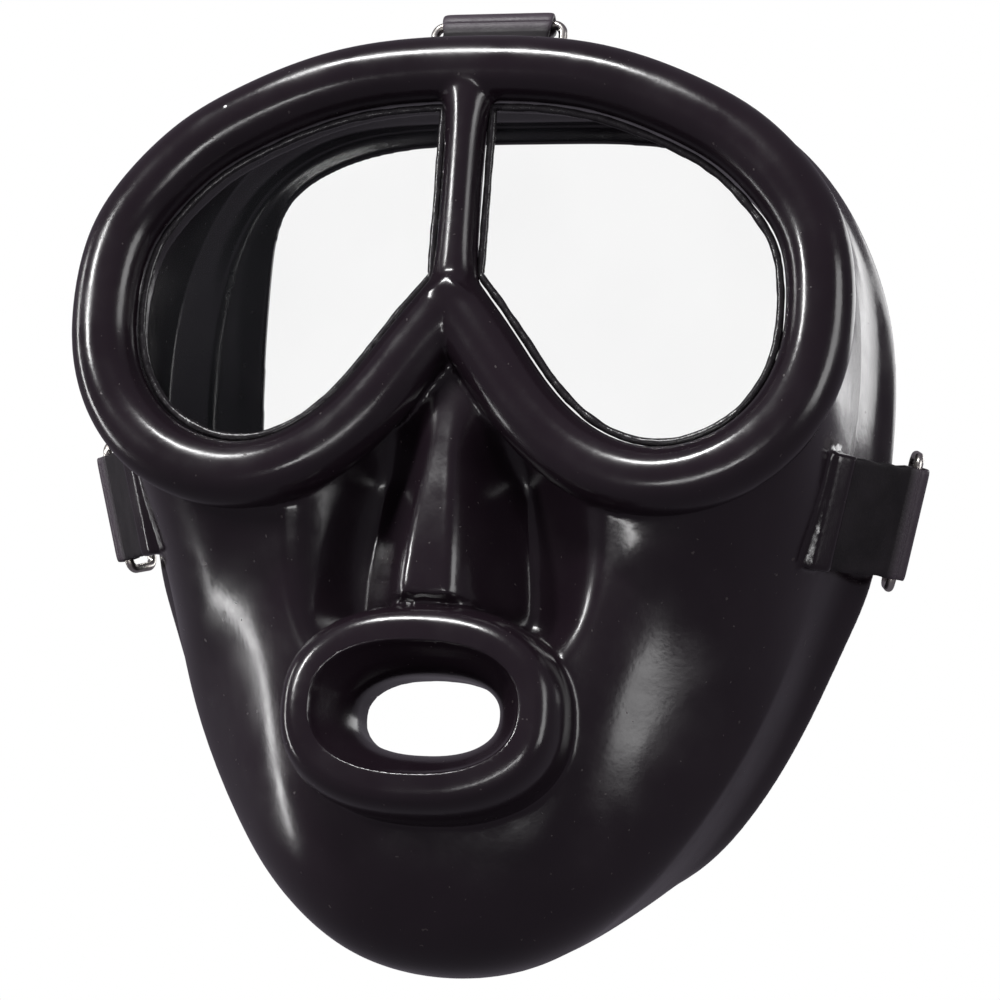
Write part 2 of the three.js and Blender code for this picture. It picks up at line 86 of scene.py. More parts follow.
def splineAt(points, slopes, where, closed):
    # place on the curve, and its direction, at each numbered position
    where = np.asarray(where, float)
    count = len(points)
    start = np.floor(where).astype(int)
    if not closed:
        start = np.clip(start, 0, count - 2)
    t = (where - start)[:, None]
    a, b = start % count, (start + 1) % count
    p, q, m, n = points[a], points[b], slopes[a], slopes[b]
    place = (p * (2 * t**3 - 3 * t**2 + 1) + m * (t**3 - 2 * t**2 + t)
             + q * (3 * t**2 - 2 * t**3) + n * (t**3 - t**2))
    heading = ((p - q) * (6 * t**2 - 6 * t) + m * (3 * t**2 - 4 * t + 1)
               + n * (3 * t**2 - 2 * t))
    return place, heading / np.linalg.norm(heading, axis=1, keepdims=True)


# face lines: each is given for the wearer's left half, from the top centre to the chin, as shares
# of its half width and of its height above or below the middle

faceLines = {
    "corner": {"halfWidth": 79, "top": 93, "chin": -101.5, "shares": [
        (0, 1), (0.38, 0.995), (0.63, 0.95), (0.81, 0.84), (0.925, 0.68), (0.985, 0.495),
        (1, 0.3), (0.985, 0.11), (0.95, -0.06), (0.885, -0.227), (0.772, -0.473),
        (0.6, -0.715), (0.44, -0.862), (0.243, -0.964), (0, -1)]},
    "rear": {"halfWidth": 85, "top": 99, "chin": -89, "shares": [
        (0, 1), (0.365, 0.995), (0.61, 0.95), (0.78, 0.83), (0.895, 0.677), (0.97, 0.505),
        (1, 0.323), (0.994, 0.12), (0.96, -0.112), (0.894, -0.292), (0.776, -0.55),
        (0.612, -0.787), (0.435, -0.905), (0.224, -0.978), (0, -1)]},
    "lip": {"halfWidth": 60, "top": 88.5, "chin": -77, "shares": [
        (0, 1), (0.4, 0.994), (0.7, 0.955), (0.9, 0.88), (0.983, 0.78), (1, 0.62),
        (0.992, 0.395), (0.967, 0.17), (0.925, -0.078), (0.867, -0.312), (0.75, -0.545),
        (0.6, -0.753), (0.433, -0.89), (0.233, -0.974), (0, -1)]},
}
lastStation = 14


def halfPoints(line):
    return np.array([(x * line["halfWidth"], 0, z * (line["top"] if z > 0 else -line["chin"]))
                     for x, z in line["shares"]], float)


def mirrorX(points):
    return points * np.array([-1, 1, 1])


def faceLine(name):
    half = halfPoints(faceLines[name])
    whole = np.vstack([half, mirrorX(half[1:-1])[::-1]])
    slopes = splineSlopes(whole, True)
    return lambda stations: splineAt(whole, slopes, stations, True)


cornerLine, rearLine, lipLine = faceLine("corner"), faceLine("rear"), faceLine("lip")

rim = {
    "halfWidth": 75.5, "top": 84, "bottom": -3.5, "peak": 33, "forward": 63,
    "beadRadius": 7, "overlap": 1, "tipReach": 3.5, "steps": 260, "facets": 40,
    "glassForward": 61.6, "glassThickness": 4,
    "shares": [(0, 1), (0.344, 0.975), (0.622, 0.886), (0.795, 0.789), (0.927, 0.657),
               (0.987, 0.531), (1, 0.394), (0.98, 0.269), (0.914, 0.149), (0.781, 0.046),
               (0.583, 0), (0.384, 0.046), (0.225, 0.16), (0.106, 0.297)],
}


def makeRimCurve():
    half = np.array([(x * rim["halfWidth"], 0, mix(rim["bottom"], rim["top"], z))
                     for x, z in rim["shares"]], float)
    peak = np.array([0, 0, rim["peak"]], float)
    beyond = 2 * peak - half[[-1, -2]]
    points = np.vstack([mirrorX(half[[2, 1]]), half, peak, beyond])
    return points, splineSlopes(points, False)


rimCurve = makeRimCurve()


def rimAt(stations, out=0):
    # the bead's centre line, or a line beside it that stands out from the window
    place, heading = splineAt(*rimCurve, np.asarray(stations) + 2, False)
    normal = np.stack([-heading[:, 2], 0 * heading[:, 0], heading[:, 0]], axis=1)
    return place + normal * out, normal


def halfStation(stations):
    return np.minimum(stations, 2 * lastStation - stations)


# meshes

def signedVolume(verts, faces):
    # measured about the middle of the piece, so that an open or off-centre one is judged fairly
    verts = np.asarray(verts) - np.mean(verts, axis=0)
    fans = [(face[0], face[k], face[k + 1]) for face in faces for k in range(1, len(face) - 1)]
    a, b, c = (verts[list(corner)] for corner in zip(*fans))
    return float((a * np.cross(b, c)).sum())


def skinOver(rings, closed):
    # faces over a stack of rings, turned outward: (verts, faces), with flat caps on an open stack
    rings = np.asarray(rings, float)
    count = rings.shape[1]
    level = np.arange(len(rings) if closed else len(rings) - 1)[:, None]
    here = np.arange(count)[None, :]
    nextLevel, beside = (level + 1) % len(rings), (here + 1) % count
    quads = np.stack([level * count + here, level * count + beside,
                      nextLevel * count + beside, nextLevel * count + here], -1)
    verts = rings.reshape(-1, 3)
    faces = quads.reshape(-1, 4).tolist()
    if not closed:
        faces.append(list(range(count))[::-1])
        faces.append(list(range(len(verts) - count, len(verts))))
    if signedVolume(verts, faces) < 0:
        faces = [face[::-1] for face in faces]
    return verts, faces


def flipped(part):
    verts, faces = part
    return mirrorX(verts), [face[::-1] for face in faces]


def makeObject(name, parts, material=None):
    verts, faces, offset = [], [], 0
    for partVerts, partFaces in parts:
        verts.append(np.asarray(partVerts) * mm)
        faces.extend([[index + offset for index in face] for face in partFaces])
        offset += len(partVerts)
    mesh = bpy.data.meshes.new(name)
    mesh.from_pydata(np.vstack(verts).tolist(), [], faces)
    mesh.update()
    if material:
        mesh.materials.append(material)
    made = bpy.data.objects.new(name, mesh)
    bpy.context.scene.collection.objects.link(made)
    return made


def smoothShaded(made):
    made.data.polygons.foreach_set("use_smooth", [True] * len(made.data.polygons))
    made.data.update()


def fixedMesh(made):
    # the result of an object's modifiers as its own plain mesh
    graph = bpy.context.evaluated_depsgraph_get()
    mesh = bpy.data.meshes.new_from_object(made.evaluated_get(graph))
    made.modifiers.clear()
    old = made.data
    made.data = mesh
    bpy.data.meshes.remove(old)
    mesh.name = made.name


# materials: numbers on a surface are written as sums, and every other node comes from add()

class Value:
    def __init__(self, tree, socket):
        self.tree = tree
        self.socket = socket

    def worked(self, operation, other, swapped=False):
        pair = (other, self) if swapped else (self, other)
        return self.tree.add("ShaderNodeMath", {"operation": operation}, {0: pair[0], 1: pair[1]})

    def __add__(self, other):
        return self.worked("ADD", other)

    def __sub__(self, other):
        return self.worked("SUBTRACT", other)

    def __mul__(self, other):
        return self.worked("MULTIPLY", other)

    def __radd__(self, other):
        return self.worked("ADD", other, True)

    def __rsub__(self, other):
        return self.worked("SUBTRACT", other, True)

    def __rmul__(self, other):
        return self.worked("MULTIPLY", other, True)


class Finish:
    def __init__(self, name):
        self.material = bpy.data.materials.new(name)
        self.material.use_nodes = True
        self.tree = self.material.node_tree
        self.shader = self.tree.nodes["Principled BSDF"]
        self.place = self.add("ShaderNodeTexCoord", {}, {}, "Object")

    def connect(self, value, socket):
        if isinstance(value, Value):
            self.tree.links.new(value.socket, socket)
        else:
            socket.default_value = value

    def add(self, kind, settings, values, output=0):
        node = self.tree.nodes.new(kind)
        for setting, value in settings.items():
            setattr(node, setting, value)
        for socket, value in values.items():
            self.connect(value, node.inputs[socket])
        return Value(self, node.outputs[output])

    def noise(self, scale, detail=4):
        return self.add("ShaderNodeTexNoise", {}, {"Vector": self.place, "Scale": scale,
                                                   "Detail": detail})

    def between(self, value, low, high):
        # 0 below low, 1 above high
        return self.add("ShaderNodeMapRange", {"clamp": True},
                        {"Value": value, "From Min": low, "From Max": high})

    def blendColours(self, share, first, second):
        first, second = (colour if isinstance(colour, Value) else (*colour, 1)
                         for colour in (first, second))
        return self.add("ShaderNodeMix", {"data_type": "RGBA"}, {0: share, 6: first, 7: second}, 2)

    def bump(self, height, strength, distance):
        return self.add("ShaderNodeBump", {}, {"Height": height, "Strength": strength,
                                               "Distance": distance})

    def use(self, **sockets):
        for socket, value in sockets.items():
            name = {"colour": "Base Color", "roughness": "Roughness", "metallic": "Metallic",
                    "alpha": "Alpha", "normal": "Normal", "specular": "Specular IOR Level"}[socket]
            self.connect(value, self.shader.inputs[name])
        return self.material


def makeMouldedRubber():
    # glossy black with a faint tint, cloudy handling marks and a little dust
    look = {"dark": (0.0060, 0.0038, 0.0056), "light": (0.0130, 0.0080, 0.0118), "gloss": 0.16,
            "uneven": 0.12, "speck": (0.06, 0.05, 0.05), "dust": 0.5}
    finish = Finish("moulded_rubber")
    cloudy = finish.noise(38, 3)
    grain = finish.noise(900, 2)
    specks = finish.between(finish.noise(800, 1), 0.76, 0.80)
    colour = finish.blendColours(cloudy, look["dark"], look["light"])
    colour = finish.blendColours(specks * look["dust"], colour, look["speck"])
    smears = finish.between(finish.noise(95, 5), 0.35, 0.75)
    roughness = look["gloss"] + smears * look["uneven"] + specks * 0.2
    height = grain * 0.12 + finish.noise(70, 2) * 0.9
    return finish.use(colour=colour, roughness=roughness,
                      normal=finish.bump(height, 0.22, 0.0006))


def makeStrapRubber():
    # matt, paler in random worn patches, and smoother and painted lighter where it rolls over the
    # wire: a painted highlight on the bend
    look = {"dark": (0.0030, 0.0020, 0.0028), "light": (0.060, 0.048, 0.060), "matte": 0.50,
            "worn": 0.14, "rollHighlight": 0.75}
    finish = Finish("strap_rubber")
    worn = finish.between(finish.noise(150, 5), 0.3, 0.75)
    # the band is painted lighter where it rolls over the wire, a painted highlight on the bend; it
    # is also smoother there
    rollHighlight = finish.add("ShaderNodeAttribute", {"attribute_name": "rollHighlight"}, {}, "Fac")
    grain = finish.noise(1600, 3)
    return finish.use(colour=finish.blendColours(worn * look["worn"] + rollHighlight * look["rollHighlight"],
                                                 look["dark"], look["light"]),
                      roughness=look["matte"] + worn * 0.14 - rollHighlight * 0.12, specular=0.25,
                      normal=finish.bump(grain, 0.35, 0.0002))


def makeSealant():
    look = {"dark": (0.004, 0.003, 0.004), "light": (0.02, 0.018, 0.02)}
    finish = Finish("sealant")
    lumps = finish.noise(520, 3)
    return finish.use(colour=finish.blendColours(lumps, look["dark"], look["light"]),
                      roughness=0.16 + lumps * 0.2, normal=finish.bump(lumps, 0.5, 0.0004))


def makeWire():
    look = {"bright": (0.55, 0.53, 0.50), "stained": (0.25, 0.21, 0.18)}
    finish = Finish("ring_wire")
    drawn = finish.noise(700, 4)
    stain = finish.between(finish.noise(260, 3), 0.5, 0.8)
    return finish.use(colour=finish.blendColours(stain, look["bright"], look["stained"]),
                      metallic=1.0, roughness=0.2 + drawn * 0.16 + stain * 0.2,
                      normal=finish.bump(drawn, 0.15, 0.0001))


def makeGlass():
    # almost unseen face on, and brighter at a glancing angle
    look = {"tint": (0.03, 0.036, 0.038), "film": (0.07, 0.075, 0.08), "cover": 0.025}
    finish = Finish("window_glass")
    film = finish.between(finish.noise(28, 5), 0.45, 0.8)
    glance = finish.add("ShaderNodeFresnel", {}, {"IOR": 1.45})
    material = finish.use(colour=finish.blendColours(film, look["tint"], look["film"]),
                          roughness=0.02 + film * 0.08,
                          alpha=look["cover"] + film * 0.02 + glance * 0.45)
    material.surface_render_method = "BLENDED"
    return material


mouldedRubber = makeMouldedRubber()
strapRubber = makeStrapRubber()
sealant = makeSealant()
ringWire = makeWire()
windowGlass = makeGlass()
print("finishes made")


# moulded facepiece: the face, goggle rim, mouth collar, strap lugs and seal skirt are one moulding

# the stations say where one shape of wall turns into the next, counted from the top centre
face = {
    "wall": 2.9, "cornerForward": 20, "chinForward": 27, "rimSetBack": 3,
    "crownSquareness": 1.3, "cheekSquareness": 1.2, "chinSquareness": 3,
    "cheekStations": (5, 9), "chinStations": (10, 13.5), "underChinStations": (8.5, 11.5),
    "leastSlope": 0.5, "columns": 392, "rows": 96, "samples": 500,
}

# a pair gives the size at the top of the ridge and at its tip
nose = {
    "top": 22, "tip": -29, "tipFade": (1, 3), "halfWidth": (0, 3.5), "foot": (12.5, 18.5),
    "rise": (1.5, 9.5), "hollowDepth": 11, "hollowOuter": 35, "hollowTaper": 9,
    "hollowLeast": 4, "hollowOverlap": 1, "hollowStart": (6, 26), "hollowEnd": 16,
}


def cornerDepth(stations):
    share = smooth(halfStation(stations), *face["underChinStations"])
    return mix(face["cornerForward"], face["chinForward"], share)


def noseRise(x, z):
    # the ridge widens and rises towards its tip, and a curved hollow lies on each side of it
    beside = np.abs(x)
    top, tip = nose["top"], nose["tip"]
    along = smooth(-z, -top, -tip)
    half, foot = mix(*nose["halfWidth"], along), mix(*nose["foot"], along)
    ridge = mix(*nose["rise"], along) * (1 - smooth(beside, half, foot))
    above = 1 - smooth(-z, -tip - nose["tipFade"][0], nose["tipFade"][1] - tip)
    widest = (top + 3 * tip) / 4
    outer = nose["hollowOuter"] - nose["hollowTaper"] * ((z - widest) / (top - tip) * 2) ** 2
    outer = np.maximum(outer, foot + nose["hollowLeast"])
    hollow = (nose["hollowDepth"] * smooth(beside, half, foot)
              * (1 - smooth(beside, foot - nose["hollowOverlap"], outer)))
    start, end = nose["hollowStart"], nose["hollowEnd"]
    deep = smooth(-z, start[0] - top, start[1] - top) * (1 - smooth(-z, -tip, end - tip))
    return ridge * above - hollow * deep


def makeFaceWall():
    stations = np.linspace(0, 2 * lastStation, face["columns"], endpoint=False)
    half = halfStation(stations)
    start = rimAt(half)[0]
    start[:, 0] *= np.where(stations > lastStation, -1, 1)
    end, heading = cornerLine(stations)
    square = mix(mix(face["crownSquareness"], face["cheekSquareness"],
                     smooth(half, *face["cheekStations"])),
                 face["chinSquareness"], smooth(half, *face["chinStations"]))
    angle = np.linspace(0, math.pi / 2, face["samples"])
    plainRows = []
    for column in range(len(stations)):
        outward = np.sin(angle) ** (2 / square[column])
        point = start[column] + (end[column] - start[column]) * outward[:, None]
        point[:, 1] = -mix(cornerDepth(stations[column]), rim["forward"] - face["rimSetBack"],
                           np.cos(angle) ** (2 / square[column]))
        steps = np.linalg.norm(np.diff(point, axis=0), axis=1)
        travelled = np.concatenate([[0], np.cumsum(steps)])
        wanted = np.linspace(0, travelled[-1], face["rows"] + 1)
        plainRows.append(np.stack([np.interp(wanted, travelled, point[:, k]) for k in range(3)], 1))
    plain = np.array(plainRows).transpose(1, 0, 2)
    skin = plain.copy()
    skin[..., 1] -= noseRise(plain[..., 0], plain[..., 2])

    def normals(grid):
        across = np.roll(grid, -1, 1) - np.roll(grid, 1, 1)
        down = np.gradient(grid, axis=0)
        out = np.cross(across, down)
        return out / np.linalg.norm(out, axis=2, keepdims=True)

    plainNormal, skinNormal = normals(plain), normals(skin)
    # the inner skin is set back square to the plain face, so it doesn't fold under the nose
    slope = np.maximum((plainNormal * skinNormal).sum(2, keepdims=True), face["leastSlope"])
    inner = skin - plainNormal * face["wall"] / slope
    edgeNormal = np.stack([-heading[:, 2], 0 * half, heading[:, 0]], 1)
    inner[-1] = skin[-1] - edgeNormal * face["wall"]
    return skinOver(np.vstack([skin, inner[::-1]]), True)


def circleAngles(count):
    return np.linspace(0, 2 * math.pi, count, endpoint=False)


def makeRimBead():
    # a round bar for each window, which cross at the top centre and at the nose
    points, sides = rimAt(np.linspace(0, lastStation, rim["steps"]))
    points[0, 0] = -rim["overlap"]
    last = points[-1] - points[-2]
    tip = points[-1] + last / np.linalg.norm(last) * rim["tipReach"]
    points = np.vstack([points, tip])
    sides = np.vstack([sides, sides[-1]])
    points[:, 1] = -rim["forward"]
    angle, radius = circleAngles(rim["facets"]), rim["beadRadius"]
    rings = (points[:, None] + sides[:, None] * (radius * np.cos(angle))[None, :, None]
             + np.array([0, 1, 0]) * (radius * np.sin(angle))[None, :, None])
    half = skinOver(rings, False)
    return [half, flipped(half)]


bar = {"halfWidth": 4.2, "halfDepth": 5.2, "past": 2.5, "topEdge": 3, "flare": 0.75,
       "swell": 0.12, "flareLength": 4, "steps": 90, "facets": 40}


def makeCentreBar():
    # flared where it runs into the bead at each end
    angle = circleAngles(bar["facets"])
    rings = []
    for height in np.linspace(rim["peak"], rim["top"] + bar["past"], bar["steps"]):
        nearEnd = min(height - rim["peak"], rim["top"] - bar["topEdge"] - height)
        flare = math.exp(-max(nearEnd, 0) / bar["flareLength"])
        wide = bar["halfWidth"] * (1 + bar["flare"] * flare)
        deep = bar["halfDepth"] * (1 + bar["swell"] * flare)
        rings.append(np.stack([wide * np.cos(angle), deep * np.sin(angle) - rim["forward"],
                               np.full(len(angle), height)], 1))
    return skinOver(rings, False)


ledge = {"root": 0.2, "reach": 6.5, "depth": 3.8, "gap": 0.3, "setBack": 2}


def makeLedge():
    # rubber ledge behind the edge of each glass
    back = rim["glassForward"] - rim["glassThickness"] - ledge["gap"] - ledge["depth"]
    front = rim["forward"] - ledge["setBack"]
    stations = np.linspace(0, lastStation, rim["steps"])
    stations = stations[rimAt(stations, -ledge["reach"])[0][:, 0] > bar["halfWidth"]]
    root = rimAt(stations, -ledge["root"])[0]
    reach = rimAt(stations, -ledge["reach"])[0]
    rings = [[[a[0], -front, a[2]], [b[0], -front, b[2]], [b[0], -back, b[2]], [a[0], -back, a[2]]]
             for a, b in zip(root, reach)]
    half = skinOver(rings, False)
    return [half, flipped(half)]


mouth = {"height": -51.3, "forward": 71.5, "rear": 50, "outer": (29, 21.5), "flare": (20, 12.2),
         "bore": (15, 8.2), "lipSpread": (1.16, 1.2), "power": 0.86, "facets": 160}


def mouthOval(size, forward):
    angle = circleAngles(mouth["facets"])
    ease = [np.sign(v) * np.abs(v) ** mouth["power"] for v in (np.cos(angle), np.sin(angle))]
    return np.stack([size[0] * ease[0], np.full(len(angle), -forward),
                     mouth["height"] + size[1] * ease[1]], 1)


def ovalStack(profile, steps):
    # smooth through ovals given as (half width, half height) and how far forward each lies
    controls = np.array([(*size, forward) for size, forward in profile], float)
    slopes = splineSlopes(controls, False)
    where = np.linspace(0, len(controls) - 1, steps)
    return [mouthOval(row[:2], row[2]) for row in splineAt(controls, slopes, where, False)[0]]


def ovalBetween(a, b, share):
    return tuple(mix(first, second, share) for first, second in zip(a, b))


def makeCollar():
    outer, flare, forward = mouth["outer"], mouth["flare"], mouth["forward"]
    profile = [(outer, mouth["rear"]), (outer, forward - 12), (outer, forward - 7.5),
               (ovalBetween(outer, flare, 0.13), forward - 3),
               (ovalBetween(outer, flare, 0.36), forward - 0.6),
               (ovalBetween(outer, flare, 0.62), forward),
               (ovalBetween(outer, flare, 0.85), forward)]
    return skinOver(ovalStack(profile, 60), False)


def makeMouthPassage():
    # what is cut out: the flare and the straight bore behind it
    flare, bore, forward = mouth["flare"], mouth["bore"], mouth["forward"]
    lip = tuple(size * spread for size, spread in zip(flare, mouth["lipSpread"]))
    profile = [(lip, forward + 2.4), (ovalBetween(lip, flare, 0.5), forward + 0.2),
               (flare, forward - 2.4), (ovalBetween(flare, bore, 0.6), forward - 6.5),
               (bore, forward - 12), (bore, forward - 18), (bore, mouth["rear"] - 8)]
    return skinOver(ovalStack(profile, 70), False)


def softened(profile, rounds=3):
    # corners cut a quarter of the way in, with both ends kept
    for _ in range(rounds):
        cut = [profile[0]]
        for a, b in zip(profile[:-1], profile[1:]):
            cut += [mix(a, b, 0.25), mix(a, b, 0.75)]
        profile = cut + [profile[-1]]
    return profile


def makeSkirt():
    stations = np.linspace(0, 2 * lastStation, face["columns"], endpoint=False)
    corner, heading = cornerLine(stations)
    rear, lip = rearLine(stations)[0], lipLine(stations)[0]
    inside = corner - np.stack([-heading[:, 2], 0 * stations, heading[:, 0]], 1) * face["wall"]

    def at(line, forward):
        moved = line.copy()
        moved[:, 1] = -forward
        return moved

    # lines from the corner, round the rear edge to the lip, and back inside it
    front = cornerDepth(stations) + 0.3
    profile = [at(corner, front), at(mix(corner, rear, 0.3), 10), at(mix(corner, rear, 0.85), 4.5),
               at(rear, 1.6), at(mix(rear, lip, 0.06), 0), at(mix(rear, lip, 0.5), 0), at(lip, 3)]
    back = [at(lip, 4.8), at(mix(lip, rear, 0.4), 6.5), at(mix(inside, lip, 0.2), 13),
            at(inside, front)]
    return skinOver(softened(profile) + softened(back), True)


# strap roots come from the frame's own joints

joints = {joint["name"]: joint for joint in frame["joints"]}


def strapFrame(bend, swing):
    root = np.array(joints[bend]["pos_m"]) / mm
    eye = np.array(joints[swing]["pos_m"]) / mm
    hinge = np.array(joints[bend]["axis"], float)
    hinge /= np.linalg.norm(hinge)
    along = (eye - root) / np.linalg.norm(eye - root)
    return {"root": root, "eye": eye, "along": along, "inward": np.cross(hinge, along),
            "hinge": hinge, "length": np.linalg.norm(eye - root)}


sideStrap = strapFrame("strap_left_bend", "ring_left_swing")
topStrap = strapFrame("strap_top_bend", "ring_top_swing")
lug = {"length": 5, "width": 24.7, "height": 1.5, "depth": 4.0, "sideSweep": 60, "topSweep": 30}


def makeLug(place, sweep):
    lean = math.radians(90 - sweep)
    along = place["along"] * math.cos(lean) + place["inward"] * math.sin(lean)
    inward = place["inward"] * math.cos(lean) - place["along"] * math.sin(lean)
    outline = [(-lug["length"], -lug["depth"]), (1.6, -lug["depth"]), (1.6, -0.6),
               (0.4, lug["height"]), (-1.8, lug["height"]), (-lug["length"], -1.6)]
    rings = [[place["root"] + along * x - inward * out + place["hinge"] * z for x, out in outline]
             for z in np.linspace(-0.5, 0.5, 30) * lug["width"]]
    return skinOver(rings, False)


def dropBubbles(made):
    # fusing can leave small closed bubbles inside the wall: only the largest body stays
    shape = bmesh.new()
    shape.from_mesh(made.data)
    seen, groups = set(), []
    for start in shape.verts:
        if start in seen:
            continue
        seen.add(start)
        group = [start]
        for vertex in group:
            near = [edge.other_vert(vertex) for edge in vertex.link_edges]
            fresh = [other for other in near if other not in seen]
            seen.update(fresh)
            group.extend(fresh)
        groups.append(group)
    groups.sort(key=len)
    stray = [vertex for group in groups[:-1] for vertex in group]
    bmesh.ops.delete(shape, geom=stray, context="VERTS")
    shape.to_mesh(made.data)
    shape.free()


moulding = {"voxel": 0.62, "quickVoxel": 1.9, "softening": 0.5, "rounds": 7,
            "triangles": 196000}


def mouldFacepiece():
    sideLug = makeLug(sideStrap, lug["sideSweep"])
    parts = [makeFaceWall(), *makeRimBead(), makeCentreBar(), *makeLedge(), makeCollar(),
             makeSkirt(), sideLug, flipped(sideLug), makeLug(topStrap, lug["topSweep"])]
    made = makeObject("moulded_facepiece", parts, mouldedRubber)
    passage = makeObject("mouth_passage", [makeMouthPassage()])
    voxel = moulding["voxel"] * 1
    fuse = made.modifiers.new("fuse", "REMESH")
    fuse.mode = "VOXEL"
    fuse.voxel_size = voxel * mm
    fixedMesh(made)
    cut = made.modifiers.new("bore", "BOOLEAN")
    cut.operation = "DIFFERENCE"
    cut.solver = "MANIFOLD"
    cut.object = passage
    soften = made.modifiers.new("soften", "SMOOTH")
    soften.factor = moulding["softening"]
    soften.iterations = moulding["rounds"]
    fixedMesh(made)
    bpy.data.objects.remove(passage)
    triangles = sum(len(face.vertices) - 2 for face in made.data.polygons)
    print("facepiece fused:", triangles, "triangles")
    if triangles > moulding["triangles"]:
        thin = made.modifiers.new("thin", "DECIMATE")
        thin.ratio = moulding["triangles"] / triangles
        fixedMesh(made)
    dropBubbles(made)
    made.data.materials.clear()
    made.data.materials.append(mouldedRubber)
    smoothShaded(made)
    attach(made, "facepiece")
    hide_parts("front_shell", "window_frame", "seal_skirt")
    print("facepiece:", len(made.data.polygons), "faces")


mouldFacepiece()


# straps: a rubber band folded over the wire, with its two plies lying together

strap = {
    "width": 23.7, "halfThickness": 1.55, "ply": 1.45, "roll": 2.75, "rootDepth": 3.2,
    "neckReach": 1.9, "neckShare": 0.62, "neckRise": 0.78, "rollTurn": 0.71,
    "edgePowers": (0.12, 0.45), "trim": 0.96, "wave": 0.012, "waveRate": 0.9, "spread": 0.03,
    "spreadFrom": 5, "spreadTo": 2, "facets": 36, "bendStart": 1.5, "bendEnd": 5,
}


def bandPath(length):
    # the middle of the band: out along the outer ply, round the wire, back along the inner ply
    gap = strap["halfThickness"] - strap["ply"] / 2
    turn = strap["roll"] - strap["ply"] / 2
    reach = turn * strap["neckReach"]
    out = np.linspace(-strap["rootDepth"], length - reach, 34)
    ease = np.linspace(0, 1, 12)[1:-1]
    neck = [(length - reach + reach * strap["neckShare"] * t,
             mix(gap, turn * strap["neckRise"], smooth(t, 0, 1))) for t in ease]
    angle = np.linspace(math.pi, -math.pi, 40) * strap["rollTurn"]
    path = [(x, -gap) for x in out] + [(x, -y) for x, y in neck]
    path += [(length + turn * math.cos(a), -turn * math.sin(a)) for a in angle]
    path += [(x, y) for x, y in neck[::-1]] + [(x, gap) for x in out[::-1]]
    return np.array(path)


def makeBand(place):
    path = bandPath(place["length"])
    heading = np.gradient(path, axis=0)
    heading /= np.linalg.norm(heading, axis=1, keepdims=True)
    side = np.stack([-heading[:, 1], heading[:, 0]], 1)
    angle = circleAngles(strap["facets"])
    across, through = (np.sign(v) * np.abs(v) ** power
                       for v, power in zip((np.cos(angle), np.sin(angle)), strap["edgePowers"]))
    half = strap["ply"] / 2 * strap["trim"]
    rings = []
    for (x, y), (sx, sy) in zip(path, side):
        nearRoll = smooth(x - place["length"], -strap["spreadFrom"], strap["spreadTo"])
        wave = strap["wave"] * math.sin(x * strap["waveRate"])
        halfWidth = strap["width"] / 2 * (1 - wave + strap["spread"] * nearRoll)
        rings.append([place["root"] + place["along"] * (x + sx * half * t)
                      + place["inward"] * (y + sy * half * t) + place["hinge"] * halfWidth * a
                      for a, t in zip(across, through)])
    return skinOver(rings, False)


def makeStraps():
    side = makeBand(sideStrap)
    for name, part, place, mirror in (
            ("left", side, sideStrap, 1), ("right", flipped(side), sideStrap, -1),
            ("top", makeBand(topStrap), topStrap, 1)):
        made = makeObject("strap_band_" + name, [part], strapRubber)
        smoothShaded(made)
        turn = np.array([mirror, 1, 1])
        verts = np.array([vertex.co for vertex in made.data.vertices]) / mm * turn
        reach = (verts - place["root"]) @ place["along"] - place["length"]
        # share of the painted highlight where the band rolls over the wire
        rollHighlight = made.data.attributes.new("rollHighlight", "FLOAT", "POINT")
        share = smooth(reach, -strap["roll"] * 1.5, -strap["roll"] * 0.6)
        rollHighlight.data.foreach_set("value", share)
        root, along = place["root"] * turn * mm, place["along"] * turn * mm
        "strap_" + name
        tuple(root - along * strap["bendStart"])
        tuple(root + along * strap["bendEnd"])
        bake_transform(made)
        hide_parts("strap_loop_" + name)
    print("straps made")


makeStraps()


# wire rings and sealant lines: a round section that follows a path, by one geometry tree

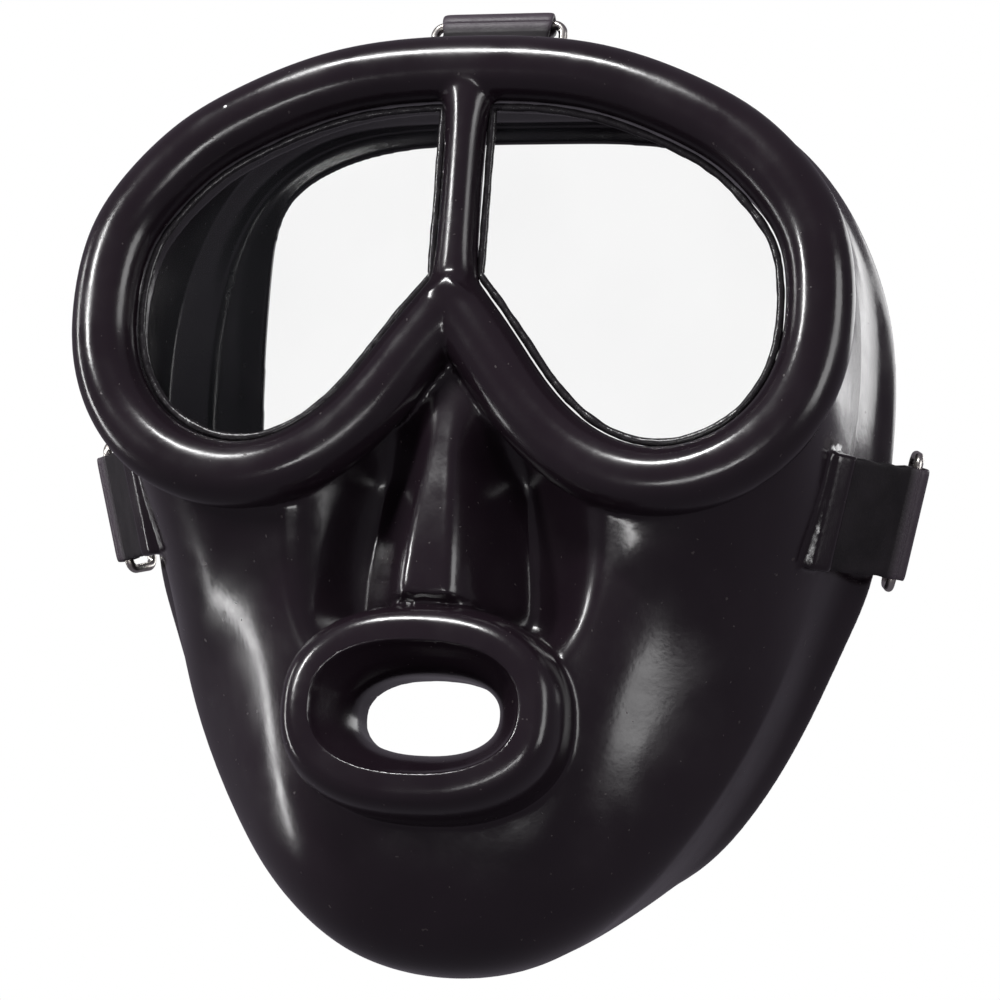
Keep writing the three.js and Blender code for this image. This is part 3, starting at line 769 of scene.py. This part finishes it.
def makeSweepTree():
    tree = bpy.data.node_groups.new("sweep_along_path", "GeometryNodeTree")
    sockets = tree.interface
    sockets.new_socket("Geometry", in_out="OUTPUT", socket_type="NodeSocketGeometry")
    sockets.new_socket("Geometry", in_out="INPUT", socket_type="NodeSocketGeometry")
    for name, kind, value in (("Radius", "NodeSocketFloat", 0.001),
                              ("Sides", "NodeSocketInt", 20),
                              ("Unevenness", "NodeSocketFloat", 0.0),
                              ("Lump Scale", "NodeSocketFloat", 180.0),
                              ("Seed", "NodeSocketFloat", 1.0)):
        sockets.new_socket(name, in_out="INPUT", socket_type=kind).default_value = value
    sockets.new_socket("Material", in_out="INPUT", socket_type="NodeSocketMaterial")
    nodes, links = tree.nodes, tree.links
    given, result = nodes.new("NodeGroupInput"), nodes.new("NodeGroupOutput")
    path = nodes.new("GeometryNodeMeshToCurve")
    circle = nodes.new("GeometryNodeCurvePrimitiveCircle")
    sweep = nodes.new("GeometryNodeCurveToMesh")
    lumps = nodes.new("ShaderNodeTexNoise")
    lumps.noise_dimensions = "4D"
    centred = nodes.new("ShaderNodeMath")
    centred.operation = "SUBTRACT"
    centred.inputs[1].default_value = 0.5
    amount = nodes.new("ShaderNodeMath")
    amount.operation = "MULTIPLY"
    normal = nodes.new("GeometryNodeInputNormal")
    push = nodes.new("ShaderNodeVectorMath")
    push.operation = "SCALE"
    move = nodes.new("GeometryNodeSetPosition")
    shade = nodes.new("GeometryNodeSetShadeSmooth")
    realise = nodes.new("GeometryNodeRealizeInstances")
    paint = nodes.new("GeometryNodeSetMaterial")
    for source, target in (
            (given.outputs["Geometry"], path.inputs[0]),
            (given.outputs["Radius"], circle.inputs["Radius"]),
            (given.outputs["Sides"], circle.inputs["Resolution"]),
            (path.outputs[0], sweep.inputs["Curve"]),
            (circle.outputs["Curve"], sweep.inputs["Profile Curve"]),
            (given.outputs["Seed"], lumps.inputs["W"]),
            (given.outputs["Lump Scale"], lumps.inputs["Scale"]),
            (lumps.outputs[0], centred.inputs[0]),
            (centred.outputs[0], amount.inputs[0]),
            (given.outputs["Unevenness"], amount.inputs[1]),
            (normal.outputs[0], push.inputs[0]),
            (amount.outputs[0], push.inputs["Scale"]),
            (sweep.outputs[0], move.inputs["Geometry"]),
            (push.outputs[0], move.inputs["Offset"]),
            (move.outputs[0], shade.inputs[0]),
            (shade.outputs[0], realise.inputs[0]),
            (realise.outputs[0], paint.inputs["Geometry"]),
            (given.outputs["Material"], paint.inputs["Material"]),
            (paint.outputs[0], result.inputs[0])):
        links.new(source, target)
    return tree


sweepTree = makeSweepTree()


def sweep(name, points, settings, material):
    # points make one closed path
    mesh = bpy.data.meshes.new(name)
    count = len(points)
    mesh.from_pydata((np.asarray(points) * mm).tolist(),
                     [(i, (i + 1) % count) for i in range(count)], [])
    made = bpy.data.objects.new(name, mesh)
    bpy.context.scene.collection.objects.link(made)
    tree = made.modifiers.new("sweep", "NODES")
    tree.node_group = sweepTree
    values = {**settings, "Material": material}
    for item in sweepTree.interface.items_tree:
        if item.in_out == "INPUT" and item.name in values:
            tree[item.identifier] = values[item.name]
    fixedMesh(made)
    return made


def pointOutward(made):
    # a closed tube can come out inside out
    verts = [vertex.co for vertex in made.data.vertices]
    if signedVolume(verts, [list(face.vertices) for face in made.data.polygons]) < 0:
        made.data.flip_normals()


ring = {"wire": 1.0, "depth": 9.5, "overhang": 2.4, "corner": 2.2, "sideTurn": 45,
        "topTurn": 150, "unevenness": 0.00012, "cornerSteps": 10}


def ringPath(place, turn):
    angle = math.radians(turn)
    out = place["along"] * math.cos(angle) + place["inward"] * math.sin(angle)
    halfHeight = strap["width"] / 2 + ring["overhang"]
    points = []
    corners = ((ring["depth"], 1), (0, 1), (0, -1), (ring["depth"], -1))
    for number, (x, z) in enumerate(corners):
        middleX = ring["corner"] if x == 0 else x - ring["corner"]
        middleZ = z * (halfHeight - ring["corner"])
        for k in range(ring["cornerSteps"] + 1):
            bend = 0.5 * math.pi * (number + k / ring["cornerSteps"])
            points.append(place["eye"] + out * (middleX + ring["corner"] * math.cos(bend))
                          + place["hinge"] * (middleZ + ring["corner"] * math.sin(bend)))
    return np.array(points)


def makeRings():
    side = ringPath(sideStrap, ring["sideTurn"])
    for name, path in (("left", side), ("right", mirrorX(side)),
                       ("top", ringPath(topStrap, ring["topTurn"]))):
        made = sweep("wire_ring_" + name + "_wire", path,
                     {"Radius": ring["wire"] * mm, "Sides": 20,
                      "Unevenness": ring["unevenness"], "Seed": 3.0}, ringWire)
        pointOutward(made)
        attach(made, "ring_" + name)
        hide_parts("wire_ring_" + name)
    print("rings made")


makeRings()

sealantLine = {"radius": 0.85, "in": 8.1, "bar": 5.3, "lift": 0.75, "lumps": 0.0007,
               "lumpScale": 210.0, "steps": 260, "barSteps": 50}


def sealantPath():
    # round the edge of the wearer's left glass, and straight along the bar
    inner = sealantLine["bar"]
    stations = np.linspace(0, lastStation + 1, sealantLine["steps"])
    line = rimAt(stations, -sealantLine["in"])[0]
    line = line[line[:, 0] > inner]
    high, low = line[0][2], line[-1][2]
    upright = [[inner, 0, z] for z in np.linspace(low, high, sealantLine["barSteps"])]
    path = np.vstack([upright[-1], line, upright[:-1]])
    path[:, 1] = -(rim["glassForward"] + sealantLine["lift"])
    return path


def makeSealantLines():
    loop = sealantPath()
    for name, path, seed in (("left", loop, 1.0), ("right", mirrorX(loop), 7.0)):
        made = sweep("sealant_line_" + name, path,
                     {"Radius": sealantLine["radius"] * mm, "Sides": 12,
                      "Unevenness": sealantLine["lumps"],
                      "Lump Scale": sealantLine["lumpScale"], "Seed": seed},
                     sealant)
        pointOutward(made)
        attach(made, "facepiece")
        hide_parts("window_gasket_" + name)
    print("sealant made")


makeSealantLines()


def clearGlass():
    # the flat glass keeps its own shape and gets a clear finish
    for side in ("left", "right"):
        pane = frame["nodes"]["window_" + side]
        pane.data.materials.clear()
        pane.data.materials.append(windowGlass)


clearGlass()


# studio: pale floor, pale surround, soft lights and the camera

studio = {"floor": -0.75, "floorSize": 40, "floorGlow": 1.0, "surround": 0.17,
          "background": (1, 1, 1), "room": (0.88, 0.80, 0.94)}


def makeFloor():
    # pale and evenly bright, and not mirrored in the rubber
    half, level = studio["floorSize"] / 2 / mm, studio["floor"] / mm
    corners = np.array([(-half, -half, level), (half, -half, level), (half, half, level),
                        (-half, half, level)])
    finish = Finish("pale_floor")
    tone = finish.noise(3, 3)
    colour = finish.blendColours(tone, (0.80, 0.80, 0.81), (0.84, 0.84, 0.85))
    material = finish.use(colour=colour, roughness=0.6)
    finish.shader.inputs["Emission Color"].default_value = (0.9, 0.9, 0.91, 1)
    finish.shader.inputs["Emission Strength"].default_value = studio["floorGlow"]
    floor = makeObject("floor", [(corners, [[0, 1, 2, 3]])], material)
    floor.visible_glossy = False
    floor.visible_diffuse = False


def makeSurround():
    # the lens sees a bright backdrop, and the rubber reflects a dimmer room
    bpy.context.scene.view_settings.view_transform = "Standard"
    world = bpy.data.worlds.new("studio")
    bpy.context.scene.world = world
    world.use_nodes = True
    nodes, links = world.node_tree.nodes, world.node_tree.links
    room = nodes["Background"]
    room.inputs["Color"].default_value = (*studio["room"], 1)
    room.inputs["Strength"].default_value = studio["surround"]
    backdrop = nodes.new("ShaderNodeBackground")
    backdrop.inputs["Color"].default_value = (*studio["background"], 1)
    backdrop.inputs["Strength"].default_value = 1.0
    ray = nodes.new("ShaderNodeLightPath")
    choose = nodes.new("ShaderNodeMixShader")
    links.new(ray.outputs["Is Camera Ray"], choose.inputs[0])
    links.new(room.outputs[0], choose.inputs[1])
    links.new(backdrop.outputs[0], choose.inputs[2])
    links.new(choose.outputs[0], nodes["World Output"].inputs["Surface"])


lights = {
    "overhead": {"at": (-0.30, -0.85, 0.95), "size": (0.55, 0.10), "power": 15},
    "front_left": {"at": (-0.85, -0.85, 0.35), "size": (0.10, 0.30), "power": 7},
    "left_strip": {"at": (-1.1, -0.1, 0.0), "size": (0.10, 0.9), "power": 4},
    "right_strip": {"at": (1.25, -0.55, 0.1), "size": (0.45, 1.0), "power": 7},
    "low_fill": {"at": (0.10, -0.85, -0.28), "size": (0.40, 0.05), "power": 1.2},
    "behind": {"at": (0.7, 1.0, 0.5), "size": (0.7, 0.5), "power": 3},
}


def makeLights():
    for name, light in lights.items():
        data = bpy.data.lights.new(name, "AREA")
        data.shape = "RECTANGLE"
        data.size, data.size_y = light["size"]
        data.energy = light["power"]
        lamp = bpy.data.objects.new(name, data)
        bpy.context.scene.collection.objects.link(lamp)
        lamp.location = light["at"]
        lamp.rotation_euler = (-Vector(light["at"])).to_track_quat("-Z", "Y").to_euler()


shot = {"azimuth": 14, "elevation": -12, "roll": 4, "at": (0.14876, -0.60845, -0.12728),
        "sensor": 36, "lens": 103.032, "nearest": 0.02}


def makeCamera():
    azimuth, elevation, roll = (math.radians(shot[k]) for k in ("azimuth", "elevation", "roll"))
    back = Vector((math.sin(azimuth) * math.cos(elevation),
                   -math.cos(azimuth) * math.cos(elevation), math.sin(elevation)))
    level = Vector((math.cos(azimuth), math.sin(azimuth), 0))
    upright = back.cross(level)
    right = math.cos(roll) * level + math.sin(roll) * upright
    up = math.cos(roll) * upright - math.sin(roll) * level
    data = bpy.data.cameras.new("camera")
    data.sensor_width = shot["sensor"]
    data.lens = shot["lens"]
    data.clip_start = shot["nearest"]
    camera = bpy.data.objects.new("camera", data)
    bpy.context.scene.collection.objects.link(camera)
    pose = Matrix((right, up, back)).transposed().to_4x4()
    pose.translation = Vector(shot["at"])
    camera.matrix_world = pose
    bpy.context.scene.camera = camera


makeFloor()
makeSurround()
makeLights()
makeCamera()
print("studio made")
